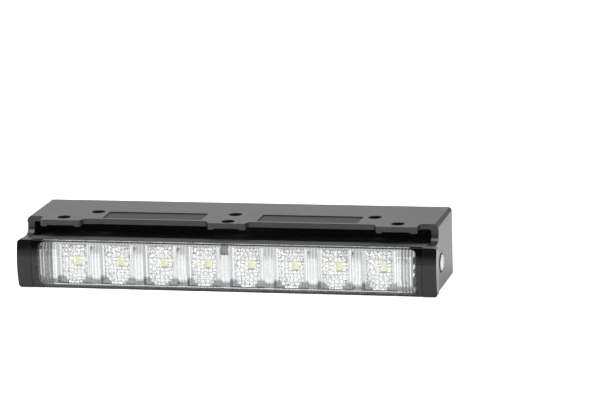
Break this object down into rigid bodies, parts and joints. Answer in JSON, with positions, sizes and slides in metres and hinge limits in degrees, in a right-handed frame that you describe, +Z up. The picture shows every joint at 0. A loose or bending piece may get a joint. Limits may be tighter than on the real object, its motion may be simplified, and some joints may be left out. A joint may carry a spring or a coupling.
{
  "type": "daytime running light",
  "caption": "Slim black daytime running light: faceted LED optics behind a clear bulged cover, cradled in a moulded bracket with countersunk screw holes.",
  "frame": {"origin": "centre of the underside of the lamp's bounding box", "axes": "+X to the lamp's right seen from the front, +Y from the clear cover to the bracket's back wall, +Z up to the bracket's top plate"},
  "size_m": [0.2, 0.053, 0.0315],
  "materials": {
    "bracket_plastic": "satin black glass-filled moulding",
    "housing_plastic": "polished black moulding",
    "clear_cover": "polished clear plastic",
    "seal_rubber": "matte",
    "reflector_chrome": "metallised plastic",
    "clip_grey": "satin grey",
    "optic_clear": "polished clear facets",
    "led_phosphor": "yellow phosphor",
    "board_white": "white solder mask",
    "connector_nylon": "natural nylon",
    "pad_grey": "soft thermal pad",
    "sink_aluminium": "die cast",
    "screw_zinc": "zinc plated",
    "insert_brass": "turned",
    "vent_white": "breather film"
  },
  "bodies": {
    "root": {"bracket": "bracket_plastic", "housing": "housing_plastic", "lens_cover": "clear_cover", "cover_seal": "seal_rubber", "reflector": "reflector_chrome", "reflector_clip": "clip_grey", "circuit_board": "board_white", "board_connector": "connector_nylon", "board_screws": "screw_zinc", "thermal_pad": "pad_grey", "heat_sink": "sink_aluminium", "sink_seal": "seal_rubber", "sink_screws": "screw_zinc", "cable_gland": "seal_rubber", "vent_membrane": "vent_white", "optic_1": "optic_clear", "led_1": "led_phosphor", "optic_2": "optic_clear", "led_2": "led_phosphor", "optic_3": "optic_clear", "led_3": "led_phosphor", "optic_4": "optic_clear", "led_4": "led_phosphor", "optic_5": "optic_clear", "led_5": "led_phosphor", "optic_6": "optic_clear", "led_6": "led_phosphor", "optic_7": "optic_clear", "led_7": "led_phosphor", "optic_8": "optic_clear", "led_8": "led_phosphor", "side_screw_left": "screw_zinc", "side_washer_left": "screw_zinc", "thread_insert_left": "insert_brass", "side_screw_right": "screw_zinc", "side_washer_right": "screw_zinc", "thread_insert_right": "insert_brass"}
  },
  "joints": []
}
